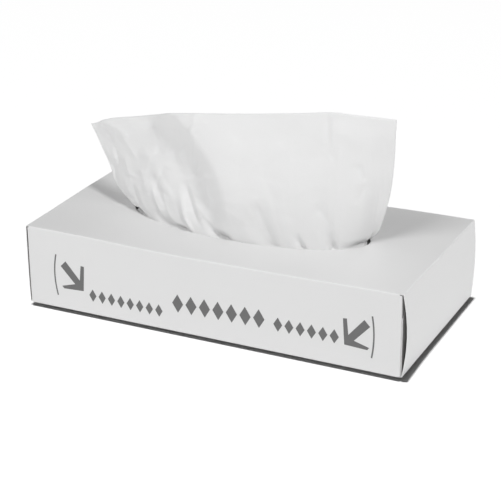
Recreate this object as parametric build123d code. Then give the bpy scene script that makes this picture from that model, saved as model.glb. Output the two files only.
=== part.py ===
import os
from math import cos, exp, pi, sin

from build123d import *

# Carton, outside sizes between its folds
carton_length = 235.0
carton_width = 115.0
carton_height = 49.0
top_sag = 1.2
bottom_bow = 2.2
end_bow = 2.3
end_bow_radius = 200.0

# Paperboard, its folds and its flaps
board = 0.4
layer_gap = 0.05
inside_fold_radius = 0.5
fold_run = 0.3
edge_clearance = 0.6
end_flap_clearance = 0.3
glue_flap_height = 14.0
bottom_flap_height = 38.0
bottom_flap_taper = 3.0
dust_flap_length = 46.0
dust_flap_taper = 5.0
cut_overrun = 5.0

# Oval opening in the top panel
opening_length = 150.0
opening_width = 53.0

# Folded tissues in the carton, and the room they leave
end_room = 12.5
side_room = 7.5
headroom = 11.8
sheet_thickness = 0.3
sheet_gap = 0.15
stack_edge_radius = 1.5
next_fold_radius = 0.5
next_pull_back = 31.5
next_corner_lift = 0.6
next_middle_lift = 13.0
next_lift_length = 24.0
next_lift_radius = 30.0

# Standing sheet: its free top edge from the left corner to the right one
top_edge_rise = 74.7
top_edge_x_shares = (-0.559, -0.467, -0.324, -0.190, -0.038, 0.162, 0.248, 0.419)
top_edge_y_shares = (0.210, 0.148, 0.068, 0.005, -0.026, -0.026, -0.018, 0.050)
top_edge_z_shares = (0.505, 0.617, 0.735, 0.813, 0.884, 0.965, 1.0, 0.979)

# Standing sheet: how it flares from the rim to its free edge, at the left end and at the right
flare_height_shares = (0, 0.13, 0.30, 0.50, 0.75, 1)
left_flare_shares = (0, 0.27, 0.47, 0.60, 0.79, 1)
right_flare_shares = (0, 0.48, 0.72, 0.87, 0.96, 1)
lean_power = 1.15

# Standing sheet: its gathers, squeezed along the front rim of the opening
rim_clearance = 1.2
gathered_start_angle = -166.0
gathered_turn = 172.0
gather_depth = 2.4
gather_width_share = 0.038
gather_fade = 2
gather_places_shares = (0.04, 0.18, 0.30, 0.42, 0.53, 0.64, 0.75, 0.90)
gather_depths_shares = (0.9, 0.6, 1.0, 0.9, 0.9, 0.6, 0.9, 0.8)

# Standing sheet: the soft ridge that runs up from the rim, steep on its left and gentle on its right
ridge_depth = 5.0
ridge_height_shares = (0, 0.25, 0.50, 0.75, 1)
ridge_place_shares = (0.475, 0.493, 0.487, 0.456, 0.400)
ridge_left_run = 13.0
ridge_right_run = 34.0
ridge_rise_share = 0.35
ridge_lean_share = 0.91
ridge_lift_share = 0.42
hollow_depth = 2.4
hollow_place = 28.0
hollow_run = 16.0
rise_share = 0.76

# Standing sheet: its opened fold inside the carton
fold_radius = 1.6
fold_reach = 22.2
fold_end_pull = 17.0
fold_end_inset = 16.0

# Standing sheet: spans along each row, and rows above the rim, below it and round the fold
columns = 26
rise_rows = 9
row_power = 1.4
sink_rows = 4
fold_rows = 5
probe_share = 0.001

outer_fold_radius = inside_fold_radius + board
half_length = carton_length / 2
half_width = carton_width / 2
layer_step = board + layer_gap
sleeve_end = half_length - 2 * layer_step - outer_fold_radius - fold_run
panel_front = -half_width + outer_fold_radius + fold_run
panel_back = half_width - layer_step - outer_fold_radius - fold_run
carton_top = bottom_bow + carton_height
sheet_width = carton_length - 2 * end_room
folded_depth = carton_width - 2 * side_room
half_sheet = sheet_width / 2
half_fold = folded_depth / 2
sheet_step = sheet_thickness + sheet_gap
stack_top = carton_top - board - headroom
stack_height = stack_top - board
first_layer_z = stack_top + sheet_gap
second_layer_z = first_layer_z + sheet_step
third_layer_z = second_layer_z + sheet_step


def inner_corners(corners, thickness):
    """Corners of the inner face of a strip whose outer face has these corners, on its left."""
    runs = [(end - start).normalized() for start, end in zip(corners, corners[1:])]
    normals = [Vector(-run.Y, run.X) for run in runs]
    before = [normals[0]] + normals
    after = normals + [normals[-1]]
    return [
        corner + (a + b) * (thickness / (1 + a.dot(b)))
        for corner, a, b in zip(corners, before, after)
    ]


def folded_section(points, outer_radii, thickness):
    """Section of a folded strip: its outer face follows the points and it lies to their left."""
    outer = [Vector(*point) for point in points]
    inner = inner_corners(outer, thickness)
    with BuildSketch() as section:
        with BuildLine():
            FilletPolyline(*outer, radius=outer_radii)
            FilletPolyline(*inner, radius=[max(radius - thickness, 0) for radius in outer_radii])
            Line(outer[0], inner[0])
            Line(outer[-1], inner[-1])
        make_face()
    return section.sketch


def top_height(x):
    """Height of the slightly sagging top panel's outer face at x."""
    return carton_top - top_sag * (1 - (x / sleeve_end) ** 2) ** 2


def wrap_section(x):
    """Back, top and front panels and the fold into the bottom panel, cut across at x."""
    outline = [
        (half_width, bottom_bow + edge_clearance),
        (half_width, top_height(x)),
        (-half_width, top_height(x)),
        (-half_width, bottom_bow),
        (panel_front, bottom_bow),
    ]
    return Plane.YZ.offset(x) * folded_section(outline, [outer_fold_radius] * 3, board)


def wrap():
    """Back, top and front panels in one strip."""
    return loft([wrap_section(sleeve_end * step / 3) for step in range(-3, 4)])


def glue_flap():
    """Flap on the bottom panel's back edge, glued inside the back panel."""
    inner_back = half_width - layer_step
    flap_top = bottom_bow + glue_flap_height
    outline = [(panel_back, bottom_bow), (inner_back, bottom_bow), (inner_back, flap_top)]
    section = folded_section(outline, [outer_fold_radius], board)
    return extrude(Plane.YZ * section, sleeve_end, both=True)


def bottom_panel():
    """Bottom panel, pressed flat under the tissues and rising to its four folds."""
    pressed = Rectangle(sheet_width + 2 * sheet_gap, folded_depth)
    panel = Pos(0, (panel_front + panel_back) / 2) * Rectangle(2 * sleeve_end, panel_back - panel_front)
    raised_panel = Pos(0, 0, bottom_bow) * panel
    tray = loft([pressed.face(), raised_panel.face()])
    return tray + extrude(raised_panel, board) - Pos(0, 0, board) * tray


def bowed_end_flap():
    """Outer closing flap at the right end, hinged on the top panel and bowed outwards."""
    outline = [
        (half_length, bottom_bow + edge_clearance),
        (half_length + end_bow, bottom_bow + carton_height / 2),
        (half_length, carton_top),
        (sleeve_end, carton_top),
    ]
    profile = Plane.XZ * folded_section(outline, [end_bow_radius, outer_fold_radius], board)
    return extrude(profile, half_width - end_flap_clearance, both=True)


def bottom_end_flap():
    """Inner closing flap at the right end, hinged on the bottom panel."""
    face_x = half_length - layer_step
    flap_top = bottom_bow + bottom_flap_height
    outline = [(sleeve_end, bottom_bow), (face_x, bottom_bow), (face_x, flap_top)]
    profile = Plane.XZ * folded_section(outline, [outer_fold_radius], board)
    flap = extrude(profile, half_width - outer_fold_radius, both=True)
    free_corners = flap.edges().filter_by(Axis.X).group_by(Axis.Z)[-1]
    return chamfer(free_corners, bottom_flap_taper)


def dust_flap():
    """Innermost flap at the right end, hinged on the front panel."""
    face_x = half_length - 2 * layer_step
    free_y = -half_width + dust_flap_length
    outline = [(sleeve_end, -half_width), (face_x, -half_width), (face_x, free_y)]
    section = folded_section(outline, [outer_fold_radius], board)
    base = Plane.XY.offset(bottom_bow + outer_fold_radius) * section
    flap = extrude(base, carton_height - 2 * outer_fold_radius)
    free_corners = flap.edges().filter_by(Axis.X).group_by(Axis.Y)[-1]
    return chamfer(free_corners, dust_flap_taper)


def carton():
    """The whole carton, folded and glued from one blank, with the oval torn out of its top."""
    front_dust_flap = dust_flap()
    back_dust_flap = mirror(front_dust_flap, Plane.XZ)
    right_end = bowed_end_flap() + bottom_end_flap() + front_dust_flap + back_dust_flap
    left_end = mirror(right_end, Plane.YZ)
    opening = Ellipse(opening_length / 2, opening_width / 2)
    cutter_base = Plane.XY.offset(carton_top - cut_overrun) * opening
    sleeve = wrap() + bottom_panel() + glue_flap()
    return sleeve + right_end + left_end - extrude(cutter_base, 2 * cut_overrun)


def tissue_stack():
    """The folded tissues still in the carton, as one block with rounded folds front and back."""
    middle_z = board + stack_height / 2
    block = Pos(0, 0, middle_z) * Box(sheet_width, folded_depth, stack_height)
    return fillet(block.edges().filter_by(Axis.X), stack_edge_radius)


def next_section(share):
    """The next tissue, cut across at a share of its half width from the middle."""
    bottom = first_layer_z
    top = third_layer_z + sheet_thickness
    front = -half_fold + next_pull_back
    lift = next_corner_lift + next_middle_lift * (1 - share * share) ** 3
    outline = [
        (-half_fold, bottom),
        (half_fold, bottom),
        (half_fold, top),
        (front + next_lift_length, top),
        (front, top + lift),
    ]
    radii = [next_fold_radius, next_fold_radius, next_lift_radius]
    section = folded_section(outline, radii, sheet_thickness)
    return Plane.YZ.offset(half_sheet * share) * section


def next_tissue():
    """The tissue under the standing one, folded at the back round that one's lower half."""
    return loft([next_section(step / 5) for step in range(-5, 6)], ruled=True)


def gathers(share):
    """How far the folds stand in, from 0 to 1, at a share of the gathered width."""
    folds = zip(gather_places_shares, gather_depths_shares)
    return sum(depth * exp(-(((share - place) / gather_width_share) ** 2)) for place, depth in folds)


def smooth_value(places, values, place):
    """The value at a place, on a smooth line through these values at these places."""
    runs = [(d - c) / (b - a) for a, b, c, d in zip(places, places[1:], values, values[1:])]
    slopes = [runs[0]] + [(a + b) / 2 for a, b in zip(runs, runs[1:])] + [runs[-1]]
    for low, high, start, end, leaving, arriving in zip(
        places, places[1:], values, values[1:], slopes, slopes[1:]
    ):
        if place <= high:
            break
    run = high - low
    done = min((place - low) / run, 1)
    left = 1 - done
    bends = run * done * left * (leaving * left - arriving * done)
    return start * (1 + 2 * done) * left**2 + end * (1 + 2 * left) * done**2 + bends


def flare(share, height):
    """How far the sheet has spread sideways from the rim at a share of its height."""
    left = smooth_value(flare_height_shares, left_flare_shares, height)
    right = smooth_value(flare_height_shares, right_flare_shares, height)
    return left * (1 - share) + right * share


def ridge(share, height):
    """How far the soft ridge, and the hollow on its left, stand out of the sheet."""
    line = smooth_value(ridge_height_shares, ridge_place_shares, height)
    from_ridge = (share - line) * sheet_width
    run = ridge_right_run if from_ridge > 0 else ridge_left_run
    crest = ridge_depth * exp(-((from_ridge / run) ** 2))
    hollow = hollow_depth * exp(-(((from_ridge + hollow_place) / hollow_run) ** 2))
    grown = min(height / ridge_rise_share, 1)
    return (crest - hollow) * grown


def fold_point(share):
    """Where the opened fold rests, at a share of the width from the left edge."""
    side = 2 * share - 1
    x = side * (half_sheet - fold_end_inset * abs(side) ** 3)
    y = -(rim_half_width + fold_reach) + fold_end_pull * side * side
    return Vector(x, y, second_layer_z)


def rim_point(share):
    """Where the sheet passes the front rim of the opening, just inside its edge."""
    point = rim_line @ share
    return Vector(point.X, point.Y, top_height(point.X) - board / 2)


def front_point(share, down):
    """Front of the standing sheet: share runs from left to right, down from edge to fold."""
    rim = rim_point(share)
    away = Vector(rim.X / rim_half_length**2, rim.Y / rim_half_width**2, 0).normalized()
    depth = -gather_depth * gathers(share)
    if down < rise_share:
        height = 1 - down / rise_share
        top = top_edge @ share
        out = ridge(share, height)
        x = rim.X + (top.X - rim.X) * flare(share, height)
        y = rim.Y + (top.Y - rim.Y) * height**lean_power - out * ridge_lean_share
        z = rim.Z + (top.Z - rim.Z) * height + out * ridge_lift_share
        return Vector(x, y, z) + away * (depth * (1 - height) ** gather_fade)
    sunk = (down - rise_share) / (1 - rise_share)
    fold_top = fold_point(share) + Vector(0, 0, 2 * outer_turn)
    point = rim * (1 - sunk) + fold_top * sunk + away * (depth * (1 - sunk) ** 1.5)
    return Vector(point.X, point.Y, fold_top.Z + (rim.Z - fold_top.Z) * (1 - sunk) ** 2)


def back_point(share, down):
    """Back of the standing sheet, one thickness behind its front along the normal."""
    left = max(share - probe_share, 0)
    right = min(share + probe_share, 1)
    above = max(down - probe_share, 0)
    below = min(down + probe_share, 1)
    across = front_point(right, down) - front_point(left, down)
    along = front_point(share, below) - front_point(share, above)
    return front_point(share, down) + across.cross(along).normalized() * sheet_thickness


def fold_row_point(share, turned, turn, layer):
    """A point of the opened fold, turned from 0 at its top to 1 at its bottom."""
    fold = fold_point(share)
    rim = rim_point(share)
    forward = Vector(fold.X - rim.X, fold.Y - rim.Y, 0).normalized()
    reach = forward * (turn * sin(pi * turned))
    return fold + reach + Vector(0, 0, layer + turn + turn * cos(pi * turned))


def sheet_rows(surface, turn, layer):
    """Points of one face of the sheet, row by row from its free edge round its fold."""
    heights = [(1 - step / rise_rows) ** row_power for step in range(rise_rows + 1)]
    rise = [rise_share * (1 - height) for height in heights]
    sink = [rise_share + (1 - rise_share) * step / sink_rows for step in range(1, sink_rows + 1)]
    rows = [[surface(share, down) for share in column_shares] for down in rise + sink]
    for step in range(1, fold_rows + 1):
        turned = step / fold_rows
        rows.append([fold_row_point(share, turned, turn, layer) for share in column_shares])
    return rows


def lower_half(fold_row, z):
    """Outline of the flat half of one face of the sheet, behind its fold."""
    rear_y = half_fold - sheet_step
    rear = [Vector(-half_sheet, rear_y, z), Vector(half_sheet, rear_y, z)]
    corners = [fold_row[0], *rear, fold_row[-1]]
    return [Edge.make_line(start, end) for start, end in zip(corners, corners[1:])]


def row_edge(points):
    """A smooth line through one row of points across the sheet."""
    return Edge.make_spline(points, parameters=column_shares)


def standing_tissue():
    """The sheet pulled up through the opening, gathered in front and still half folded away."""
    front = sheet_rows(front_point, outer_turn, 0)
    back = sheet_rows(back_point, fold_radius, sheet_thickness)
    faces = []
    borders = []
    for rows in (front, back):
        edges = [row_edge(row) for row in rows]
        faces += Shell.make_loft([Wire([edge]) for edge in edges], ruled=True).faces()
        flap = lower_half(rows[-1], rows[-1][0].Z)
        faces.append(Face(Wire([edges[-1]] + flap)))
        left = [Edge.make_line(start[0], end[0]) for start, end in zip(rows, rows[1:])]
        right = [Edge.make_line(start[-1], end[-1]) for start, end in zip(rows, rows[1:])]
        borders.append([edges[0]] + left + right + flap)
    faces += [Face.make_surface_from_curves(*pair) for pair in zip(*borders)]
    return Solid(Shell(faces))


rim_half_length = opening_length / 2 - rim_clearance
rim_half_width = opening_width / 2 - rim_clearance
outer_turn = fold_radius + sheet_thickness
column_shares = [step / columns for step in range(columns + 1)]
rim_line = EllipticalCenterArc(
    (0, 0),
    rim_half_length,
    rim_half_width,
    start_angle=gathered_start_angle,
    arc_size=gathered_turn,
)
top_edge = Spline(
    *[
        (x * sheet_width, y * folded_depth, carton_top + z * top_edge_rise)
        for x, y, z in zip(top_edge_x_shares, top_edge_y_shares, top_edge_z_shares)
    ]
)


parts = {
    "carton": carton,
    "tissue_stack": tissue_stack,
    "next_tissue": next_tissue,
    "popup_tissue": standing_tissue,
}
os.makedirs("parts", exist_ok=True)
for name, make in parts.items():
    export_step(make(), f"parts/{name}.step")
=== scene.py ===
"""A flat carton of facial tissues with one tissue standing up out of its torn oval opening."""

import math
import random

import bmesh
import bpy
import numpy as np
from bpy.props import FloatProperty, FloatVectorProperty, IntProperty, PointerProperty
from mathutils import Matrix, Vector, noise


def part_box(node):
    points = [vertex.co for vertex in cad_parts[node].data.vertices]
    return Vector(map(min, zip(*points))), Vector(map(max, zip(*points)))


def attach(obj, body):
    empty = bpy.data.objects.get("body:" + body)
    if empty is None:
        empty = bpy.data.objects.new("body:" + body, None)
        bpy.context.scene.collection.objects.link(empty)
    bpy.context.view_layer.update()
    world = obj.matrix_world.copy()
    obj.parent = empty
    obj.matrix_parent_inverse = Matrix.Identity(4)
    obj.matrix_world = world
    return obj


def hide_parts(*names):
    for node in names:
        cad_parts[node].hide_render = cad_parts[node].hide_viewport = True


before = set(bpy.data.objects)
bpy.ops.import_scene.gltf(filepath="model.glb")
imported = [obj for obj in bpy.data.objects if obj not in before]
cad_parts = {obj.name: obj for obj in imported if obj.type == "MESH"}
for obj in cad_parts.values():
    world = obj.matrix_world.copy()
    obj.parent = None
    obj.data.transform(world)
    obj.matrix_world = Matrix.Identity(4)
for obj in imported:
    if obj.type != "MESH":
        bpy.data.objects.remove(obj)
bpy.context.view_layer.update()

bl_info = {
    "name": "Tissue Box",
    "version": (1, 0, 0),
    "blender": (4, 5, 0),
    "location": "View3D > Sidebar > Tissue Box",
    "description": "Builds a flat carton of facial tissues with one tissue standing up out of it",
    "category": "Object",
}

MM = 0.001
BODY = "root"


class StageSettings(bpy.types.PropertyGroup):
    """The photograph's viewpoint and the floor."""

    azimuth: FloatProperty(
        name="Azimuth",
        description="How far round to the right the camera stands",
        default=math.radians(26.38),
        subtype="ANGLE",
    )
    elevation: FloatProperty(
        name="Elevation",
        description="How steeply the camera looks down",
        default=math.radians(23.35),
        subtype="ANGLE",
    )
    roll: FloatProperty(
        name="Roll",
        description="How far the camera is turned about its line of sight",
        default=math.radians(-0.89),
        subtype="ANGLE",
    )
    distance: FloatProperty(
        name="Distance",
        description="From the camera to the plane through the middle of the carton's base",
        default=0.94950,
        unit="LENGTH",
    )
    drop: FloatProperty(
        name="Drop",
        description="How far the middle of the carton's base lies below the line of sight",
        default=-0.02862,
        unit="LENGTH",
    )
    slide: FloatProperty(
        name="Slide",
        description="How far the middle of the carton's base lies right of the line of sight",
        default=0.25 * MM,
        unit="LENGTH",
    )
    lens: FloatProperty(
        name="Lens",
        description="Focal length for a sensor 36 mm wide, in millimetres",
        default=114.905,
    )
    lift: FloatProperty(
        name="Lift",
        description="Height of the carton's lower folds over the floor",
        default=2.2 * MM,
        unit="LENGTH",
    )
    floor_size: FloatProperty(
        name="Floor size",
        description="Side of the square floor",
        default=12.0,
        unit="LENGTH",
    )
    floor_color: FloatVectorProperty(
        name="Floor colour",
        description="Colour of the plain floor",
        default=(0.47, 0.47, 0.47),
        subtype="COLOR",
    )


def right_up_back(azimuth, elevation, roll):
    """The camera's own axes for that view."""
    back = Vector(
        (
            math.sin(azimuth) * math.cos(elevation),
            -math.cos(azimuth) * math.cos(elevation),
            math.sin(elevation),
        )
    )
    right = Vector((math.cos(azimuth), math.sin(azimuth), 0))
    up = back.cross(right)
    return (
        right * math.cos(roll) + up * math.sin(roll),
        up * math.cos(roll) - right * math.sin(roll),
        back,
    )


def add_camera(stage):
    """The camera at the photograph's viewpoint."""
    right, up, back = right_up_back(stage.azimuth, stage.elevation, stage.roll)
    place = back * stage.distance - right * stage.slide - up * stage.drop
    place.z += stage.lift
    camera = bpy.data.objects.new("camera", bpy.data.cameras.new("camera"))
    bpy.context.scene.collection.objects.link(camera)
    turned = Matrix((right, up, back)).transposed().to_4x4()
    camera.matrix_world = Matrix.Translation(place) @ turned
    camera.data.lens = stage.lens
    camera.data.clip_start = 0.05
    camera.data.clip_end = 50
    bpy.context.scene.camera = camera


# The soft square lights: name, direction that each stands in, distance, side of its square and power
OBJECT_LIGHTS = (
    ("key light", (0.9, -0.3, 1.0), 1.6, 0.3, 13),
    ("fill light", (-0.5, -1.0, 1.0), 1.8, 1.0, 16.5),
    ("back light", (0.25, 1.0, 0.5), 1.8, 0.9, 4),
)
FLOOR_LIGHT = ("overhead light", (0, -0.06, 1), 12.0, 0.6, 2850)
LIGHT_AIM = Vector((0, 0, 40 * MM))
WORLD_STRENGTH = 0.17


def add_light(name, towards, distance, size, power):
    """A soft square light that shines from a direction onto the carton."""
    data = bpy.data.lights.new(name, "AREA")
    data.shape = "SQUARE"
    data.size = size
    data.energy = power
    lamp = bpy.data.objects.new(name, data)
    bpy.context.scene.collection.objects.link(lamp)
    back = Vector(towards).normalized()
    lamp.matrix_world = (
        Matrix.Translation(LIGHT_AIM + back * distance)
        @ back.to_track_quat("Z", "Y").to_matrix().to_4x4()
    )
    return lamp


def leave_floor_out(lamp, floor):
    """The light falls on everything but the floor."""
    kept = bpy.data.collections.new(lamp.name + " leaves out")
    kept.objects.link(floor)
    kept.collection_objects[0].light_linking.link_state = "EXCLUDE"
    lamp.light_linking.receiver_collection = kept


def only_floor(lamp, floor):
    """The light falls on the floor alone."""
    kept = bpy.data.collections.new(lamp.name + " lights")
    kept.objects.link(floor)
    lamp.light_linking.receiver_collection = kept


class TISSUEBOX_OT_stage(bpy.types.Operator):
    """Adds the camera, the lights and the pale floor."""

    bl_idname = "tissuebox.stage"
    bl_label = "Stage"

    def execute(self, context):
        stage = context.scene.tissue_box.stage
        add_camera(stage)
        mesh = bpy.data.meshes.new("floor")
        sheet = bmesh.new()
        bmesh.ops.create_grid(sheet, x_segments=1, y_segments=1, size=stage.floor_size / 2)
        sheet.to_mesh(mesh)
        sheet.free()
        floor = bpy.data.objects.new("floor", mesh)
        context.scene.collection.objects.link(floor)
        finish = bpy.data.materials.new("floor")
        finish.use_nodes = True
        shader = finish.node_tree.nodes["Principled BSDF"]
        shader.inputs["Base Color"].default_value = (*stage.floor_color, 1)
        shader.inputs["Roughness"].default_value = 0.9
        shader.inputs["Specular IOR Level"].default_value = 0.1
        mesh.materials.append(finish)
        for values in OBJECT_LIGHTS:
            leave_floor_out(add_light(*values), floor)
        only_floor(add_light(*FLOOR_LIGHT), floor)
        world = bpy.data.worlds.new("studio")
        world.use_nodes = True
        background = world.node_tree.nodes["Background"]
        background.inputs["Color"].default_value = (1, 1, 1, 1)
        background.inputs["Strength"].default_value = WORLD_STRENGTH
        context.scene.world = world
        context.scene.view_settings.view_transform = "Standard"
        return {"FINISHED"}


class CartonSettings(bpy.types.PropertyGroup):
    """The coated board, its grey inside and its print."""

    board_color: FloatVectorProperty(
        name="Board colour",
        description="Colour of the white coated side of the board",
        default=(0.72, 0.72, 0.72),
        subtype="COLOR",
    )
    reverse_color: FloatVectorProperty(
        name="Reverse colour",
        description="Colour of the uncoated side of the board, inside the carton",
        default=(0.24, 0.235, 0.225),
        subtype="COLOR",
    )
    torn_color: FloatVectorProperty(
        name="Torn edge colour",
        description="Colour of the fibres along a cut or torn edge",
        default=(0.62, 0.61, 0.59),
        subtype="COLOR",
    )
    ink_color: FloatVectorProperty(
        name="Ink colour",
        description="Colour of the printed arrows, brackets and lozenges",
        default=(0.135, 0.135, 0.135),
        subtype="COLOR",
    )
    length: FloatProperty(
        name="Length",
        description="Length of the carton between its end folds",
        default=235 * MM,
        unit="LENGTH",
    )
    width: FloatProperty(
        name="Width",
        description="Width of the carton between its long folds",
        default=115 * MM,
        unit="LENGTH",
    )
    opening_length: FloatProperty(
        name="Opening length",
        description="Length of the oval torn out of the top panel",
        default=150 * MM,
        unit="LENGTH",
    )
    opening_width: FloatProperty(
        name="Opening width",
        description="Width of the oval torn out of the top panel",
        default=53 * MM,
        unit="LENGTH",
    )
    panel_span: FloatProperty(
        name="Panel span",
        description="Distance between the lines that let a panel bend",
        default=6 * MM,
        unit="LENGTH",
    )
    panel_wave: FloatProperty(
        name="Panel wave",
        description="How far the panels stray from flat",
        default=0.3 * MM,
        unit="LENGTH",
    )
    flap_bow: FloatProperty(
        name="Flap bow",
        description="How far the end flaps bow outwards at mid height",
        default=1.42 * MM,
        unit="LENGTH",
    )
    nib_depth: FloatProperty(
        name="Nib depth",
        description="How far the nibs of the torn perforation stand out",
        default=0.22 * MM,
        unit="LENGTH",
    )
    nib_spacing: FloatProperty(
        name="Nib spacing",
        description="Distance between the nibs of the torn perforation",
        default=3.1 * MM,
        unit="LENGTH",
    )


class TissueSettings(bpy.types.PropertyGroup):
    """The sheets of tissue."""

    color: FloatVectorProperty(
        name="Tissue colour",
        description="Colour of the soft white tissue",
        default=(0.745, 0.745, 0.745),
        subtype="COLOR",
    )
    flat_width: FloatProperty(
        name="Flat width",
        description="Width of one sheet before it was folded",
        default=210 * MM,
        unit="LENGTH",
    )
    flat_length: FloatProperty(
        name="Flat length",
        description="Length of one sheet before it was folded",
        default=200 * MM,
        unit="LENGTH",
    )
    thickness: FloatProperty(
        name="Thickness",
        description="Thickness of both plies of a sheet together",
        default=0.2 * MM,
        unit="LENGTH",
    )
    columns: IntProperty(
        name="Columns",
        description="Spans across the standing sheet",
        default=200,
    )
    rows: IntProperty(
        name="Rows",
        description="Spans along each half of the standing sheet",
        default=96,
    )
    layer_pitch: FloatProperty(
        name="Layer pitch",
        description="Distance from one sheet in the stack to the next",
        default=0.385 * MM,
        unit="LENGTH",
    )


class TissueBoxSettings(bpy.types.PropertyGroup):
    """Sizes and colours of the whole object and its stage."""

    stage: PointerProperty(name="Stage", type=StageSettings)
    carton: PointerProperty(name="Carton", type=CartonSettings)
    tissue: PointerProperty(name="Tissue", type=TissueSettings)


def add_group(name, inputs, outputs):
    """An empty shader node group with these inputs and outputs, and its two end nodes."""
    group = bpy.data.node_groups.new(name, "ShaderNodeTree")
    for label, kind, value in inputs:
        socket = group.interface.new_socket(label, in_out="INPUT", socket_type=kind)
        if value is not None:
            socket.default_value = value
    for label, kind in outputs:
        group.interface.new_socket(label, in_out="OUTPUT", socket_type=kind)
    return group, group.nodes.new("NodeGroupInput"), group.nodes.new("NodeGroupOutput")


def add_noise(tree, vector, scale, detail=3.0, roughness=0.5):
    """A noise texture whose pattern is set in spots to the metre."""
    texture = tree.nodes.new("ShaderNodeTexNoise")
    texture.inputs["Scale"].default_value = scale
    texture.inputs["Detail"].default_value = detail
    texture.inputs["Roughness"].default_value = roughness
    tree.links.new(vector, texture.inputs["Vector"])
    return texture.outputs["Fac"]


def add_math(tree, operation, first, second):
    """A maths node between a link and a link or a number."""
    node = tree.nodes.new("ShaderNodeMath")
    node.operation = operation
    tree.links.new(first, node.inputs[0])
    if isinstance(second, float):
        node.inputs[1].default_value = second
    else:
        tree.links.new(second, node.inputs[1])
    return node.outputs[0]


def paper_tone_group():
    """Slow clouds and fine specks in the tone of paper, round a plain colour."""
    group, source, result = add_group(
        "paper tone",
        (
            ("Vector", "NodeSocketVector", None),
            ("Color", "NodeSocketColor", (1, 1, 1, 1)),
            ("Clouds", "NodeSocketFloat", 0.03),
            ("Specks", "NodeSocketFloat", 0.02),
        ),
        (("Color", "NodeSocketColor"), ("Clouds", "NodeSocketFloat")),
    )
    vector = source.outputs["Vector"]
    clouds = add_noise(group, vector, 22.0, 4.0)
    specks = add_noise(group, vector, 1500.0, 2.0, 0.7)
    drift = add_math(group, "SUBTRACT", clouds, 0.5)
    slow = add_math(group, "MULTIPLY", drift, source.outputs["Clouds"])
    grain = add_math(group, "SUBTRACT", specks, 0.5)
    fast = add_math(group, "MULTIPLY", grain, source.outputs["Specks"])
    tone = add_math(group, "ADD", add_math(group, "ADD", slow, fast), 1.0)
    tint = group.nodes.new("ShaderNodeVectorMath")
    tint.operation = "SCALE"
    group.links.new(source.outputs["Color"], tint.inputs[0])
    group.links.new(tone, tint.inputs["Scale"])
    group.links.new(tint.outputs[0], result.inputs["Color"])
    group.links.new(clouds, result.inputs["Clouds"])
    return group


def fibre_group():
    """Height of short paper fibres that run mostly one way."""
    group, source, result = add_group(
        "fibres",
        (
            ("Vector", "NodeSocketVector", None),
            ("Across", "NodeSocketFloat", 1600.0),
            ("Along", "NodeSocketFloat", 420.0),
        ),
        (("Height", "NodeSocketFloat"),),
    )
    spread = group.nodes.new("ShaderNodeCombineXYZ")
    group.links.new(source.outputs["Across"], spread.inputs["X"])
    group.links.new(source.outputs["Along"], spread.inputs["Y"])
    group.links.new(source.outputs["Along"], spread.inputs["Z"])
    stretched = group.nodes.new("ShaderNodeVectorMath")
    stretched.operation = "MULTIPLY"
    group.links.new(source.outputs["Vector"], stretched.inputs[0])
    group.links.new(spread.outputs[0], stretched.inputs[1])
    coarse = add_noise(group, stretched.outputs[0], 1.0, 5.0, 0.6)
    group.links.new(coarse, result.inputs["Height"])
    return group


def add_effect(tree, group, vector, **values):
    """A shared effect placed in a material with its own values."""
    node = tree.nodes.new("ShaderNodeGroup")
    node.node_tree = group
    tree.links.new(vector, node.inputs["Vector"])
    for name, value in values.items():
        node.inputs[name].default_value = value
    return node


def add_bump(tree, height, distance, strength, before=None):
    """A bump node, on top of another one's normal where that is given."""
    bump = tree.nodes.new("ShaderNodeBump")
    bump.inputs["Distance"].default_value = distance
    bump.inputs["Strength"].default_value = strength
    tree.links.new(height, bump.inputs["Height"])
    if before:
        tree.links.new(before, bump.inputs["Normal"])
    return bump.outputs["Normal"]


def new_material(name, color, roughness):
    """A material with its shader, and the place it reads patterns from."""
    material = bpy.data.materials.new(name)
    material.use_nodes = True
    tree = material.node_tree
    shader = tree.nodes["Principled BSDF"]
    shader.inputs["Base Color"].default_value = (*color, 1)
    shader.inputs["Roughness"].default_value = roughness
    place = tree.nodes.new("ShaderNodeTexCoord").outputs["Object"]
    return material, tree, shader, place


def paper_material(name, color, roughness, clouds, specks, fibres, depth):
    """A paper finish: toned, with fibres of a width and length across it."""
    material, tree, shader, place = new_material(name, color, roughness)
    tone = add_effect(tree, shared_group(paper_tone_group), place, Clouds=clouds, Specks=specks)
    tone.inputs["Color"].default_value = (*color, 1)
    tree.links.new(tone.outputs["Color"], shader.inputs["Base Color"])
    hairs = add_effect(tree, shared_group(fibre_group), place, Across=fibres[0], Along=fibres[1])
    slow = add_noise(tree, place, 38.0, 3.0)
    waved = add_bump(tree, slow, 0.12 * MM, 0.5)
    haired = add_bump(tree, hairs.outputs["Height"], depth, 0.6, waved)
    tree.links.new(haired, shader.inputs["Normal"])
    return material, tree, shader


GROUPS = {}


def shared_group(make):
    """The one copy of a shared effect."""
    if make not in GROUPS:
        GROUPS[make] = make()
    return GROUPS[make]


def coated_board(settings):
    """White clay-coated board: satin, with faint grain and a roughness that drifts a little."""
    material, tree, shader = paper_material(
        "coated board", settings.board_color, 0.48, 0.035, 0.012, (900.0, 260.0), 0.012 * MM
    )
    tone = next(node for node in tree.nodes if node.type == "GROUP")
    gloss = tree.nodes.new("ShaderNodeMapRange")
    gloss.inputs["To Min"].default_value = 0.40
    gloss.inputs["To Max"].default_value = 0.58
    tree.links.new(tone.outputs["Clouds"], gloss.inputs["Value"])
    tree.links.new(gloss.outputs["Result"], shader.inputs["Roughness"])
    shader.inputs["Specular IOR Level"].default_value = 0.35
    return material


# The board's wave: reach of its slow and its quick part, and the height from which it is free
SLOW_WAVE, QUICK_WAVE, FREE_HEIGHT = 58 * MM, 23 * MM, 14 * MM
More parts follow.
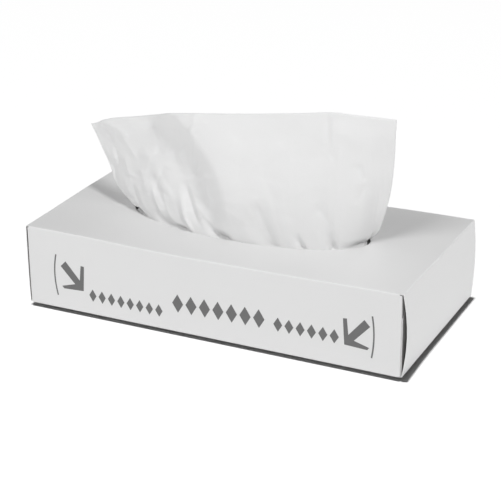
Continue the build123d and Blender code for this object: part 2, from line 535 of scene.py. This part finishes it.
# Where the three parts of a drift start in the noise
DRIFT_STARTS = (Vector((0.7, 4.1, 2.6)), Vector((17.3, 5.1, 9.7)), Vector((4.9, 23.6, 13.2)))


def drift(place):
    """A direction that changes slowly from place to place, the same in every run."""
    return Vector([noise.noise(place + start) for start in DRIFT_STARTS])


def board_wave(place, settings):
    """How far the board strays from flat at a place, less and less towards the floor."""
    slow = drift(place / SLOW_WAVE + Vector((3.1, 7.7, 1.9)))
    quick = drift(place / QUICK_WAVE + Vector((9.4, 2.2, 5.3)))
    free = min(max(place.z / FREE_HEIGHT, 0), 1)
    return (slow + quick * 0.3) * (settings.panel_wave * free)


def rim_spread(place, settings):
    """Distance from the middle of the opening, where its rim is at 1."""
    return math.hypot(2 * place.x / settings.opening_length, 2 * place.y / settings.opening_width)


def cut_across(piece, axis, place):
    """A line round a piece where a plane square to one axis crosses it."""
    normal = [0, 0, 0]
    normal[axis] = 1
    point = [0, 0, 0]
    point[axis] = place
    bmesh.ops.bisect_plane(
        piece,
        geom=piece.verts[:] + piece.edges[:] + piece.faces[:],
        dist=1e-6,
        plane_co=point,
        plane_no=normal,
    )


def cut_into_spans(board, settings):
    """Lines across every panel, so that it can bend between them."""
    low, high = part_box("carton")
    for axis in range(3):
        count = int((high[axis] - low[axis]) / settings.panel_span)
        for step in range(1, count + 1):
            cut_across(board, axis, low[axis] + (high[axis] - low[axis]) * step / (count + 1))


def rim_wall(board, settings):
    """The faces of the cut edge round the opening."""
    return [
        face
        for face in board.faces
        if abs(face.normal.z) < 0.3
        and face.calc_center_median().z > 48 * MM
        and abs(rim_spread(face.calc_center_median(), settings) - 1) < 0.01
    ]


def tear_rim(board, settings):
    """Nibs where the perforation was torn, all round the opening."""
    walls = rim_wall(board, settings)
    lines = {
        edge
        for face in walls
        for edge in face.edges
        if abs(edge.verts[0].co.z - edge.verts[1].co.z) < 0.2 * MM
    }
    board.edges.index_update()
    bmesh.ops.subdivide_edges(board, edges=sorted(lines, key=lambda edge: edge.index), cuts=7)
    perimeter = math.pi * (settings.opening_length + settings.opening_width) / 2
    nibs = round(perimeter / settings.nib_spacing)
    for vert in {vert for face in rim_wall(board, settings) for vert in face.verts}:
        angle = math.atan2(vert.co.y / settings.opening_width, vert.co.x / settings.opening_length)
        turned = angle / (2 * math.pi) * nibs
        tooth = abs(turned - round(turned)) * 2
        ragged = noise.noise(Vector((turned * 1.7, 0, 4.2)))
        out = -settings.nib_depth * (max(1 - tooth / 0.45, 0) + 0.5 * ragged)
        away = Vector((math.cos(angle), math.sin(angle), 0))
        spread = rim_spread(vert.co, settings)
        vert.co.x /= spread
        vert.co.y /= spread
        vert.co += away * out


# End flaps: how far inside the end folds they start, and the middle and half height of their bow
FLAP_DEPTH, FLAP_MIDDLE, FLAP_HALF_HEIGHT = 0.43 * MM, 26.7 * MM, 24.5 * MM
# Shares of the bow that the left flap loses and that the right flap gains at its front edge
LEFT_FLAP_LOSES, RIGHT_FLAP_GAINS = 0.85, 0.95


def settle_flaps(vert, settings):
    """The left end flap lies nearly flat, and the right one springs out more towards the front."""
    if abs(vert.co.x) > settings.length / 2 - FLAP_DEPTH:
        from_middle = (vert.co.z - FLAP_MIDDLE) / FLAP_HALF_HEIGHT
        bow = settings.flap_bow * max(1 - from_middle**2, 0)
        sprung = min(max(0.5 - vert.co.y / settings.width, 0), 1) ** 3
        vert.co.x += bow * (LEFT_FLAP_LOSES if vert.co.x < 0 else RIGHT_FLAP_GAINS * sprung)


def carton_skin(settings):
    """The carton as one closed piece of board, waved, torn round its opening, its sides told apart."""
    board = bmesh.new()
    board.from_mesh(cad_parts["carton"].data)
    bmesh.ops.remove_doubles(board, verts=board.verts, dist=0.004 * MM)
    tear_rim(board, settings)
    cut_into_spans(board, settings)
    middle = Vector((0, 0, 25 * MM))
    torn = set(rim_wall(board, settings))
    for face in board.faces:
        face.smooth = True
        away = face.calc_center_median() - middle
        face.material_index = 0 if face.normal.dot(away) > 0 else 1
        if face in torn:
            face.material_index = 2
    for vert in board.verts:
        settle_flaps(vert, settings)
        vert.co += board_wave(vert.co, settings)
    mesh = bpy.data.meshes.new("carton skin")
    board.to_mesh(mesh)
    board.free()
    mesh.set_sharp_from_angle(angle=math.radians(32))
    return mesh


class TISSUEBOX_OT_carton(bpy.types.Operator):
    """Adds the carton: coated outside, grey inside, torn round its opening."""

    bl_idname = "tissuebox.carton"
    bl_label = "Carton"

    def execute(self, context):
        settings = context.scene.tissue_box.carton
        mesh = carton_skin(settings)
        piece = bpy.data.objects.new("carton_board", mesh)
        context.scene.collection.objects.link(piece)
        reverse = paper_material(
            "grey reverse", settings.reverse_color, 0.85, 0.10, 0.30, (700.0, 240.0), 0.03 * MM
        )[0]
        torn = paper_material(
            "torn edge", settings.torn_color, 0.95, 0.15, 0.25, (2600.0, 900.0), 0.08 * MM
        )[0]
        for material in (coated_board(settings), reverse, torn):
            mesh.materials.append(material)
        weights = piece.modifiers.new("panel shading", "WEIGHTED_NORMAL")
        weights.keep_sharp = True
        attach(piece, BODY)
        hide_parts("carton")
        return {"FINISHED"}


# Print, in millimetres: its reach along each axis, and the span between the lines that let it bend
PRINT_REACH = ((0, -100, 102), (2, 8, 38))
PRINT_SPAN = 3
BRACKET_WIDTH = 0.9
INK_LIFT = 0.03 * MM


def bent_bar(points, width):
    """Outline of a flat bar of one width along a line."""
    line = [Vector(point) for point in points]
    sides = ([], [])
    for index, point in enumerate(line):
        before = line[max(index - 1, 0)]
        after = line[min(index + 1, len(line) - 1)]
        run = (after - before).normalized()
        out = Vector((-run.y, run.x)) * (width / 2)
        sides[0].append(point + out)
        sides[1].append(point - out)
    return sides[0] + sides[1][::-1]


def bracket(x, low, high, bulge):
    """Outline of a thin upright arc on the front panel."""
    steps = 12
    points = []
    for step in range(steps + 1):
        share = step / steps
        points.append((x + bulge * 4 * share * (1 - share), low + (high - low) * share))
    return bent_bar(points, BRACKET_WIDTH)


def arrow(tip, side):
    """Outline of a bold arrow that comes down to a tip from one side, its barbs square to each other."""
    barb = ((1.3, 15.8), (-1.0, 15.5), (0, 0), (13.4, -0.6), (14.5, 0.9))
    shaft = ((5.6, 3.4), (14.8, 13.4), (11.4, 16.9), (2.3, 6.2))
    return [Vector((tip[0] + side * x, tip[1] + z)) for x, z in barb + shaft]


def lozenges(start, end, count, width, height):
    """Outlines of a row of lozenges between two places on the front panel."""
    shapes = []
    for step in range(count):
        share = step / (count - 1)
        x = start[0] + (end[0] - start[0]) * share
        z = start[1] + (end[1] - start[1]) * share
        middle = Vector((x, z))
        corners = ((-width / 2, 0), (0, -height / 2), (width / 2, 0), (0, height / 2))
        shapes.append([middle + Vector(corner) for corner in corners])
    return shapes


def print_shapes():
    """Every printed outline, in millimetres from the middle of the front panel's lower fold."""
    shapes = [bracket(-97.4, 8.3, 34.2, -1.5), bracket(100.2, 8.7, 33.4, 1.2)]
    shapes += [arrow((-79.7, 13.9), -1), arrow((84.3, 13.5), 1)]
    shapes += lozenges((-73.6, 12.2), (-30.0, 11.4), 8, 4.8, 7.8)
    shapes += lozenges((-17.6, 18.2), (33.2, 18.8), 7, 7.0, 11.4)
    shapes += lozenges((44.8, 17.5), (78.4, 17.2), 6, 5.4, 8.6)
    return shapes


class TISSUEBOX_OT_front_print(bpy.types.Operator):
    """Adds the grey print on the front panel."""

    bl_idname = "tissuebox.front_print"
    bl_label = "Front print"

    def execute(self, context):
        settings = context.scene.tissue_box.carton
        lift = context.scene.tissue_box.stage.lift
        ink = bmesh.new()
        for outline in print_shapes():
            corners = [ink.verts.new((point.x * MM, 0, lift + point.y * MM)) for point in outline]
            rim = [ink.edges.new(ends) for ends in zip(corners, corners[1:] + corners[:1])]
            bmesh.ops.triangle_fill(ink, use_beauty=True, edges=rim)
        for face in ink.faces:
            if face.normal.y > 0:
                face.normal_flip()
        for axis, low, high in PRINT_REACH:
            for place in range(low, high, PRINT_SPAN):
                cut_across(ink, axis, place * MM)
        for vert in ink.verts:
            vert.co.y = -settings.width / 2
            vert.co += board_wave(vert.co, settings)
            vert.co.y -= INK_LIFT
        mesh = bpy.data.meshes.new("front print")
        ink.to_mesh(mesh)
        ink.free()
        piece = bpy.data.objects.new("front_print", mesh)
        context.scene.collection.objects.link(piece)
        material = paper_material(
            "grey ink", settings.ink_color, 0.55, 0.10, 0.12, (900.0, 260.0), 0.012 * MM
        )[0]
        mesh.materials.append(material)
        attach(piece, BODY)
        return {"FINISHED"}


# The standing sheet's free edge from its left corner to its right one, in millimetres
TOP_EDGE = (
    (-117.3, 21.0, 88.9),
    (-111.5, 18.8, 91.6),
    (-105.5, 17.0, 94.4),
    (-98.0, 14.8, 97.3),
    (-90.0, 12.6, 99.7),
    (-80.0, 10.0, 102.6),
    (-68.0, 6.8, 106.1),
    (-54.0, 3.4, 109.1),
    (-40.0, 0.5, 111.9),
    (-25.0, -1.5, 114.5),
    (-8.0, -2.6, 117.2),
    (12.0, -3.0, 120.2),
    (34.0, -2.6, 123.3),
    (52.0, -1.8, 125.9),
    (64.0, -0.4, 125.7),
    (76.0, 2.0, 125.1),
    (88.0, 5.0, 124.3),
)
# How far the sheet has spread sideways at shares of its height, at its left end and at its right
FLARE_HEIGHTS = (0, 0.05, 0.13, 0.30, 0.50, 0.75, 1)
LEFT_FLARE = (0, 0.06, 0.20, 0.40, 0.54, 0.76, 1)
RIGHT_FLARE = (0, 0.27, 0.47, 0.70, 0.87, 0.96, 1)
# Pleats where the rim squeezes the sheet: share along the rim, depth and width in millimetres, and the
# share of the height at which each has faded
PLEATS = (
    (0.018, 2.5, 1.5, 0.14),
    (0.058, 7.5, 8.0, 0.07),
    (0.105, 1.6, 2.2, 0.26),
    (0.250, 1.8, 5.0, 0.30),
    (0.298, 3.8, 3.0, 0.045),
    (0.405, 2.2, 2.2, 0.34),
    (0.424, 3.8, 2.4, 0.07),
    (0.548, 2.2, 4.0, 0.36),
    (0.638, 3.0, 1.5, 0.12),
    (0.738, 3.6, 2.0, 0.20),
    (0.880, 3.4, 14.0, 0.055),
    (0.900, 1.4, 11.0, 0.40),
    (0.985, 4.0, 2.0, 0.10),
)
# Long creases of the standing sheet: start and end as shares across and up, then height and width in
# millimetres
CREASES = (
    ((0.820, 0.98), (0.826, 0.74), -0.8, 1.8),
    ((0.905, 0.64), (0.926, 0.50), -0.9, 2.8),
    ((0.926, 0.50), (0.908, 0.34), -0.8, 2.8),
    ((0.045, 0.99), (0.100, 0.90), 1.3, 3.0),
    ((0.100, 0.90), (0.150, 0.80), 0.8, 3.6),
    ((0.130, 0.90), (0.270, 0.86), 0.8, 4.0),
    ((0.342, 0.32), (0.326, 0.01), 1.4, 2.2),
    ((0.360, 0.42), (0.378, 0.08), -1.5, 2.6),
    ((0.222, 0.37), (0.218, 0.05), 1.3, 5.0),
    ((0.130, 0.34), (0.120, 0.06), -0.9, 3.6),
    ((0.265, 0.30), (0.255, 0.05), 0.7, 4.6),
    ((0.610, 0.32), (0.630, 0.03), -1.2, 6.0),
    ((0.700, 0.22), (0.690, 0.02), 0.7, 5.0),
    ((0.790, 0.32), (0.840, 0.16), -1.1, 5.0),
)
# Where round the opening the sheet's left edge meets the rim, how far round it goes, its length there in
# millimetres and its gap to the rim
RIM_START, RIM_TURN = math.radians(-168), math.radians(178)
RIM_LENGTH = 168
RIM_GAP = 0.9 * MM
# The standing sheet in millimetres: its width and its height over the rim
SHEET_WIDE, SHEET_TALL = 210, 76
# The soft ridge and the hollow at its left, in millimetres: height, and width of each flank
RIDGE_TALL, RIDGE_STEEP, RIDGE_GENTLE = 4.2, 11.5, 34
HOLLOW_DEEP, HOLLOW_OFF, HOLLOW_WIDE = 3.0, 28, 16
# The top panel in millimetres: height of its outside, its sag and the half length that it sags over
PANEL_HIGH, PANEL_SAG, PANEL_HALF = 50.9, 1.2, 115.7
# Sheets folded in the carton, in millimetres: heights of their layers, rear edge of the long ones
LOW_LAYER, MIDDLE_LAYER, HIGH_LAYER = 39.3, 39.75, 40.2
LAYERS_REAR = 49.4
# The standing sheet's fold in the carton, in millimetres: its place, how far its ends come back and in
# from that, and its radius
FOLD_PLACE, FOLD_ENDS_BACK, FOLD_ENDS_IN, FOLD_RADIUS = -47.5, 17, 16, 1.75
FOLD_ROWS = 6
# Which way the folds stand out of the standing sheet: towards the front and up
FOLD_FRONT, FOLD_UP = 0.91, 0.42
# Small crumples at random: range across in millimetres, count, height and least and most width
CRUMPLES = ((4, 96, 62, 0.75, (2.6, 6.5)), (94, 206, 34, 0.34, (4.0, 9.0)))


def smooth_path(points, count):
    """Evenly spaced points on a smooth line through the given ones."""
    knots = np.array(points, dtype=float)
    knots = np.concatenate([2 * knots[:1] - knots[1:2], knots, 2 * knots[-1:] - knots[-2:-1]])
    t = np.linspace(0, 1, 24, endpoint=False)[:, None]
    dense = [
        0.5
        * (
            2 * b
            + (c - a) * t
            + (2 * a - 5 * b + 4 * c - d) * t * t
            + (3 * b - a - 3 * c + d) * t**3
        )
        for a, b, c, d in zip(knots, knots[1:], knots[2:], knots[3:])
    ]
    path = np.concatenate([*dense, knots[-2:-1]])
    length = path_length(path)
    places = np.linspace(0, length[-1], count)
    return np.stack([np.interp(places, length, path[:, axis]) for axis in range(path.shape[1])], axis=1)


def path_length(path):
    """Length of a path up to each of its points, along its first axis."""
    steps = np.linalg.norm(np.diff(path, axis=0), axis=-1)
    return np.concatenate([np.zeros((1, *steps.shape[1:])), np.cumsum(steps, axis=0)])


def rim_plan(along, settings):
    """Where the sheet meets the rim before it is pleated, and the way into the opening."""
    a = settings.opening_length / 2 - RIM_GAP
    b = settings.opening_width / 2 - RIM_GAP
    angle = RIM_START + RIM_TURN * along
    place = np.stack([a * np.cos(angle), b * np.sin(angle)], axis=-1)
    inward = np.stack([-np.cos(angle) / a, -np.sin(angle) / b], axis=-1)
    inward /= np.linalg.norm(inward, axis=-1, keepdims=True)
    return place, inward


def pleat_depth(along, height):
    """How far the pleats reach into the opening at a share of the rim and of the height over it."""
    depth = np.zeros(np.broadcast(along, height).shape)
    for place, deep, width, fades in PLEATS:
        rise = np.clip(1 - height / fades, 0, 1)
        spread = width * (1 + 4 * height)
        depth += deep * rise**1.3 * np.exp(-(((along - place) * RIM_LENGTH / spread) ** 2))
    return depth * MM


def rim_shares(columns, settings):
    """Shares of the rim at which evenly spaced columns of the pleated sheet lie."""
    along = np.linspace(0, 1, 2401)
    place, inward = rim_plan(along, settings)
    pleated = place + inward * pleat_depth(along, np.zeros_like(along))[:, None]
    length = path_length(pleated)
    return np.interp(np.linspace(0, 1, columns + 1) * length[-1], length, along)


def tent(px, py, start, end, tall, width, bend=0.0):
    """A crease with a crisp crest: straight flanks that run out at a width, fading at its ends."""
    middle_x, middle_y = (start[0] + end[0]) / 2, (start[1] + end[1]) / 2
    run = math.hypot(end[0] - start[0], end[1] - start[1])
    ux, uy = (end[0] - start[0]) / run, (end[1] - start[1]) / run
    along = ((px - middle_x) * ux + (py - middle_y) * uy) / (run / 2)
    side = (py - middle_y) * ux - (px - middle_x) * uy + bend * along**2
    flank = np.where(side > 0, width, width * 1.6)
    crest = np.clip(1 - np.abs(side) / flank, 0, 1) ** 1.5
    fade = np.clip(1.25 - along**2, 0, 1)
    return tall * crest * fade


def crease_height(across, up):
    """How far the creases and the small crumples stand out of the sheet."""
    px, py = across * SHEET_WIDE, up * SHEET_TALL
    height = np.zeros(np.broadcast(px, py).shape)
    for start, end, tall, width in CREASES:
        ends = [(share * SHEET_WIDE, rise * SHEET_TALL) for share, rise in (start, end)]
        height += tent(px, py, *ends, tall, width * 1.5)
    dice = random.Random(23)
    for low, high, count, tall, widths in CRUMPLES:
        for _ in range(count):
            x, y = dice.uniform(low, high), dice.uniform(6, 74)
            turn = dice.gauss(math.radians(60), math.radians(48))
            reach = dice.uniform(6, 15)
            dx, dy = reach * math.cos(turn), reach * math.sin(turn)
            deep = tall * dice.uniform(0.35, 1.0) * dice.choice((-1, 1))
            width, bend = dice.uniform(*widths), dice.uniform(-1.5, 1.5)
            height += tent(px, py, (x - dx, y - dy), (x + dx, y + dy), deep, width, bend)
    edge = np.clip(np.minimum(1 - across, across) * SHEET_WIDE / 5, 0, 1)
    return height * edge * MM


def sheet_noise(px, py, scale, seed):
    """Slow unevenness over a grid of places in millimetres, from -1 to 1."""
    px, py = np.broadcast_arrays(px, py)
    values = [
        noise.noise(Vector((x / scale, y / scale, seed)))
        for x, y in zip(px.ravel(), py.ravel())
    ]
    return np.array(values).reshape(px.shape)


def ridge_height(across, height):
    """The soft ridge that runs up from the rim, steep on its left, with a hollow on that side."""
    line = 0.502 + 0.150 * height - 0.295 * height**2
    from_line = (across - line) * SHEET_WIDE
    flank = np.where(from_line > 0, RIDGE_GENTLE, RIDGE_STEEP)
    crest = np.exp(-((from_line / flank) ** 2))
    hollow = np.exp(-(((from_line + HOLLOW_OFF) / HOLLOW_WIDE) ** 2))
    shape = RIDGE_TALL * crest - HOLLOW_DEEP * hollow
    return shape * MM * np.clip(height / 0.30, 0, 1) ** 0.9


def standing_points(settings, carton):
    """Points of the standing sheet, row by row from its free edge round its fold to its rear edge."""
    columns, rows = settings.columns, settings.rows
    across = np.linspace(0, 1, columns + 1)
    side = 2 * across - 1
    top = smooth_path(TOP_EDGE, columns + 1) * MM
    along = rim_shares(columns, carton)
    place, inward = rim_plan(along, carton)
    sag = PANEL_SAG * (1 - (place[:, 0] / (PANEL_HALF * MM)) ** 2) ** 2
    rim = np.column_stack([place, (PANEL_HIGH - sag) * MM])
    fold = np.column_stack(
        [
            side * (SHEET_WIDE / 2 - FOLD_ENDS_IN * np.abs(side) ** 3) * MM,
            (FOLD_ENDS_BACK * side**2 + FOLD_PLACE) * MM,
            np.full_like(across, MIDDLE_LAYER * MM),
        ]
    )
    turn = FOLD_RADIUS * MM
    fold_top = fold + np.array([0, 0, 2 * turn])

    def base(level):
        """The sheet without its folds: level is 1 at its free edge, 0 at the rim, -1 at the fold."""
        height = np.clip(level, 0, 1)
        sunk = np.clip(-level, 0, 1)
        left = np.interp(height, *FLARE_TABLE[0])
        right = np.interp(height, *FLARE_TABLE[1])
        flare = left * (1 - across) + right * across
        share = np.stack([flare, height, height], axis=-1)
        upper = rim + (top - rim) * share
        lower = rim * (1 - sunk)[..., None] + fold_top * sunk[..., None]
        lower[..., 2] = fold_top[:, 2] + (rim[:, 2] - fold_top[:, 2]) * (1 - sunk) ** 2
        return np.where((level >= 0)[..., None], upper, lower)

    knots = np.linspace(1, -1, 161)
    length = path_length(base(np.repeat(knots[:, None], columns + 1, axis=1)))
    half = np.linspace(0, 1, rows + 1)
    level = np.stack(
        [
            np.interp(half * length[-1, column], length[:, column], knots)
            for column in range(columns + 1)
        ],
        axis=1,
    )
    height = np.clip(level, 0, 1)
    sunk = np.clip(-level, 0, 1)
    upper = base(level)
    deep = pleat_depth(along, height) * (1 - sunk) ** 1.5
    upper[..., :2] += inward * deep[..., None]
    out = ridge_height(across, height)
    out += crease_height(across, height) * (level > 0)
    curl = np.clip(1 - across / 0.04, 0, 1) ** 1.5 * np.clip(height * 4, 0, 1)
    out += 1.6 * MM * curl
    flat_place = (across * SHEET_WIDE, height * SHEET_TALL)
    wide = sheet_noise(*flat_place, 34, 2.5) + 0.4 * sheet_noise(*flat_place, 13, 8.5)
    out += 0.9 * MM * wide * np.clip(height * 3, 0, 1)
    upper[..., 1] -= out * FOLD_FRONT
    upper[..., 2] += out * FOLD_UP
    turned = math.pi * np.arange(1, FOLD_ROWS + 1)[:, None, None] / FOLD_ROWS
    round_fold = fold + np.concatenate(
        [np.zeros_like(turned), -turn * np.sin(turned), turn + turn * np.cos(turned)], axis=-1
    )
    rear = np.column_stack(
        [side * SHEET_WIDE / 2 * MM, np.full_like(across, LAYERS_REAR * MM), fold[:, 2]]
    )
    share = (np.arange(1, rows - FOLD_ROWS + 1) / (rows - FOLD_ROWS))[:, None, None]
    return np.concatenate([upper, round_fold, fold * (1 - share) + rear * share])


def smooth_table(heights, values):
    """A table of shares made fine and smooth, for reading between its entries."""
    line = smooth_path(list(zip(heights, values)), 200)
    return line[:, 0], line[:, 1]


FLARE_TABLE = (smooth_table(FLARE_HEIGHTS, LEFT_FLARE), smooth_table(FLARE_HEIGHTS, RIGHT_FLARE))


def sheet_mesh(name, points, flat_width, flat_length):
    """A sheet of tissue over a grid of points, with its place on the flat sheet as UV map."""
    rows, columns = points.shape[0] - 1, points.shape[1] - 1
    sheet = bmesh.new()
    flat = sheet.loops.layers.uv.new("flat")
    bmesh.ops.create_grid(sheet, x_segments=columns, y_segments=rows, size=0.5)
    for vert in sheet.verts:
        column = round((vert.co.x + 0.5) * columns)
        row = round((0.5 - vert.co.y) * rows)
        for loop in vert.link_loops:
            loop[flat].uv = (column / columns * flat_width, row / rows * flat_length)
        vert.co = points[row, column]
    for face in sheet.faces:
        face.smooth = True
    mesh = bpy.data.meshes.new(name)
    sheet.to_mesh(mesh)
    sheet.free()
    return mesh


def tissue_material(settings):
    """Soft two-ply tissue: matt, finely creped, faintly mottled and a little translucent."""
    material, tree, shader, _ = new_material("soft tissue", settings.color, 0.92)
    flat = tree.nodes.new("ShaderNodeUVMap")
    flat.uv_map = "flat"
    place = flat.outputs["UV"]
    tone = add_effect(tree, shared_group(paper_tone_group), place, Clouds=0.03, Specks=0.03)
    tone.inputs["Color"].default_value = (*settings.color, 1)
    tree.links.new(tone.outputs["Color"], shader.inputs["Base Color"])
    crepe = add_effect(tree, shared_group(fibre_group), place, Across=380.0, Along=2100.0)
    soft = add_noise(tree, place, 210.0, 4.0, 0.6)
    puffed = add_bump(tree, soft, 0.16 * MM, 0.5)
    creped = add_bump(tree, crepe.outputs["Height"], 0.05 * MM, 0.7, puffed)
    tree.links.new(creped, shader.inputs["Normal"])
    shader.inputs["Specular IOR Level"].default_value = 0.15
    shader.inputs["Subsurface Weight"].default_value = 0.25
    shader.inputs["Subsurface Scale"].default_value = 1.2 * MM
    shader.inputs["Subsurface Radius"].default_value = (1.0, 1.0, 1.0)
    shader.inputs["Sheen Weight"].default_value = 0.12
    shader.inputs["Sheen Roughness"].default_value = 0.6
    return material


def soft_tissue(settings):
    """The one tissue material, made the first time that a piece asks for it."""
    return bpy.data.materials.get("soft tissue") or tissue_material(settings)


def add_sheet(name, points, settings, node):
    """A sheet of tissue over a grid of points, in place of a CAD node."""
    mesh = sheet_mesh(name, points, settings.flat_width, settings.flat_length)
    mesh.materials.append(soft_tissue(settings))
    piece = bpy.data.objects.new(name, mesh)
    bpy.context.scene.collection.objects.link(piece)
    shell = piece.modifiers.new("plies", "SOLIDIFY")
    shell.thickness = settings.thickness
    shell.offset = 0
    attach(piece, BODY)
    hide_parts(node)
    return piece


class TISSUEBOX_OT_standing(bpy.types.Operator):
    """Adds the tissue that stands in the opening."""

    bl_idname = "tissuebox.standing"
    bl_label = "Standing tissue"

    def execute(self, context):
        box = context.scene.tissue_box
        points = standing_points(box.tissue, box.carton)
        add_sheet("standing_tissue", points, box.tissue, "popup_tissue")
        return {"FINISHED"}


# Folds of the next sheet where it is being drawn up: start, end, height and width, in millimetres
PULLS = (
    ((-34, -12), (-84, 12), 2.4, 2.6),
    ((-20, -14), (-66, 26), 3.0, 2.8),
    ((-8, -16), (-38, 38), 2.6, 2.4),
    ((2, -17), (-8, 34), 2.0, 2.2),
    ((10, -17), (22, 40), 3.2, 2.6),
    ((20, -15), (52, 30), 2.5, 2.4),
    ((32, -12), (82, 22), 3.0, 2.9),
)


# The next sheet, in millimetres: start of its fold at the back and the fold's radius, then how far it
# comes forward from there, how much of that lies flat and how high its middle is drawn up
NEXT_BACK, NEXT_RADIUS = 49.2, 0.45
NEXT_REACH, NEXT_FLAT, NEXT_LIFT = 67.7, 43, 11.5
NEXT_COLUMNS, NEXT_ROWS = 120, 48
# Heights of its puffs, its fluff and its ripples, in millimetres
PUFF, FLUFF, RIPPLE = 0.9, 0.35, 1.3


def next_points(columns, rows):
    """Points of the next sheet, from its front edge back under the standing one and forward over it."""
    across = np.linspace(0, 1, columns + 1)[None]
    side = 2 * across - 1
    half = np.linspace(0, 1, rows + 1)[:, None]
    x = side * SHEET_WIDE / 2
    long_way = (NEXT_BACK + LAYERS_REAR) * half - LAYERS_REAR
    lower = np.stack(np.broadcast_arrays(x, long_way, LOW_LAYER + 0 * half), axis=-1)
    turned = math.pi * np.arange(1, 5)[:, None] / 5
    bend_y = NEXT_BACK + NEXT_RADIUS * np.sin(turned)
    bend_z = MIDDLE_LAYER - NEXT_RADIUS * np.cos(turned)
    bend = np.stack(np.broadcast_arrays(x, bend_y, bend_z), axis=-1)
    x, y = np.broadcast_arrays(x, NEXT_BACK - NEXT_REACH * half)
    lifted = np.clip((half * NEXT_REACH - NEXT_FLAT) / (NEXT_REACH - NEXT_FLAT), 0, 1)
    middle = np.clip(1 - side**2 / 0.62, 0, 1)
    puffed = sheet_noise(x, y, 26, 5.5)
    fluff = sheet_noise(x, y, 9, 1.5)
    loose = np.clip(1.15 - np.abs(side), 0, 1) * (0.25 + lifted)
    rise = NEXT_LIFT * lifted**2 * middle**1.2
    rise += (PUFF * (puffed + 0.4) + FLUFF * fluff) * loose
    rise += RIPPLE * lifted * middle * np.sin(x / 9.5 + 2 * puffed)
    for start, end, tall, width in PULLS:
        rise += tent(x, y, start, end, tall, width, 2.5)
    rise = np.maximum(rise * np.clip(half * 9, 0, 1), 0)
    upper = np.stack([x, y + 1.2 * lifted * puffed, HIGH_LAYER + rise], axis=-1)
    return np.concatenate([lower, bend, upper]) * MM


class TISSUEBOX_OT_next(bpy.types.Operator):
    """Adds the folded tissue that comes up next."""

    bl_idname = "tissuebox.next"
    bl_label = "Next tissue"

    def execute(self, context):
        settings = context.scene.tissue_box.tissue
        points = next_points(NEXT_COLUMNS, NEXT_ROWS)
        add_sheet("folded_tissue", points, settings, "next_tissue")
        return {"FINISHED"}


# The stack: radius of its upright edges, and the span between the lines that let its sides stray
STACK_RADIUS = 1.5 * MM
STACK_SPAN = 7 * MM
# How far its layers lie back from its sides, in millimetres: all, every other one and unevenly
LAYER_BACK, OTHER_BACK, RAGGED_BACK = 0.10, 0.16, 0.18


class TISSUEBOX_OT_stack(bpy.types.Operator):
    """Adds the stack of folded tissues, its layers told apart along its sides."""

    bl_idname = "tissuebox.stack"
    bl_label = "Tissue stack"

    def execute(self, context):
        settings = context.scene.tissue_box.tissue
        low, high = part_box("tissue_stack")
        low, high = Vector(low), Vector(high)
        stack = bmesh.new()
        bmesh.ops.create_cube(stack, size=1)
        bmesh.ops.scale(stack, vec=high - low, verts=stack.verts)
        bmesh.ops.translate(stack, vec=(low + high) / 2, verts=stack.verts)
        upright = [edge for edge in stack.edges if abs((edge.verts[0].co - edge.verts[1].co).z) > MM]
        bmesh.ops.bevel(
            stack,
            geom=upright,
            offset=STACK_RADIUS,
            affect="EDGES",
            segments=4,
            profile=0.5,
            material=-1,
        )
        for axis, span in enumerate((STACK_SPAN, STACK_SPAN, settings.layer_pitch)):
            count = int((high[axis] - low[axis]) / span)
            for step in range(1, count):
                cut_across(stack, axis, low[axis] + (high[axis] - low[axis]) * step / count)
        layers = round((high.z - low.z) / settings.layer_pitch)
        for vert in stack.verts:
            layer = round((vert.co.z - low.z) / (high.z - low.z) * layers)
            if not 0 < layer < layers:
                continue
            ragged = noise.noise(vert.co / (30 * MM) + Vector((0, 0, layer * 1.3)))
            deep = (LAYER_BACK + OTHER_BACK * (layer % 2) + RAGGED_BACK * abs(ragged)) * MM
            if abs(vert.co.x) > high.x - 2 * MM:
                vert.co.x -= math.copysign(deep, vert.co.x)
            if abs(vert.co.y) > high.y - 2 * MM:
                vert.co.y -= math.copysign(deep, vert.co.y)
        flat = stack.loops.layers.uv.new("flat")
        for face in stack.faces:
            for loop in face.loops:
                place = loop.vert.co
                loop[flat].uv = (place.x + place.z, place.y)
        mesh = bpy.data.meshes.new("tissue layers")
        stack.to_mesh(mesh)
        stack.free()
        mesh.materials.append(soft_tissue(settings))
        piece = bpy.data.objects.new("tissue_layers", mesh)
        context.scene.collection.objects.link(piece)
        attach(piece, BODY)
        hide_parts("tissue_stack")
        return {"FINISHED"}


class TISSUEBOX_PT_panel(bpy.types.Panel):
    """Lists the sizes and colours, and the steps that build the object."""

    bl_idname = "TISSUEBOX_PT_panel"
    bl_label = "Tissue Box"
    bl_space_type = "VIEW_3D"
    bl_region_type = "UI"
    bl_category = "Tissue Box"

    def draw(self, context):
        settings = context.scene.tissue_box
        for group in (settings.stage, settings.carton, settings.tissue):
            box = self.layout.box()
            for name in group.__annotations__:
                box.prop(group, name)
        for operator in OPERATORS:
            self.layout.operator(operator.bl_idname)


OPERATORS = (
    TISSUEBOX_OT_stage,
    TISSUEBOX_OT_carton,
    TISSUEBOX_OT_front_print,
    TISSUEBOX_OT_stack,
    TISSUEBOX_OT_next,
    TISSUEBOX_OT_standing,
)
CLASSES = (
    StageSettings,
    CartonSettings,
    TissueSettings,
    TissueBoxSettings,
    *OPERATORS,
    TISSUEBOX_PT_panel,
)


def register():
    for cls in CLASSES:
        bpy.utils.register_class(cls)
    bpy.types.Scene.tissue_box = PointerProperty(type=TissueBoxSettings)


def unregister():
    del bpy.types.Scene.tissue_box
    for cls in reversed(CLASSES):
        bpy.utils.unregister_class(cls)


def main():
    register()
    bpy.ops.tissuebox.stage()
    bpy.ops.tissuebox.carton()
    bpy.ops.tissuebox.front_print()
    bpy.ops.tissuebox.stack()
    bpy.ops.tissuebox.next()
    bpy.ops.tissuebox.standing()


if __name__ == "__main__":
    main()
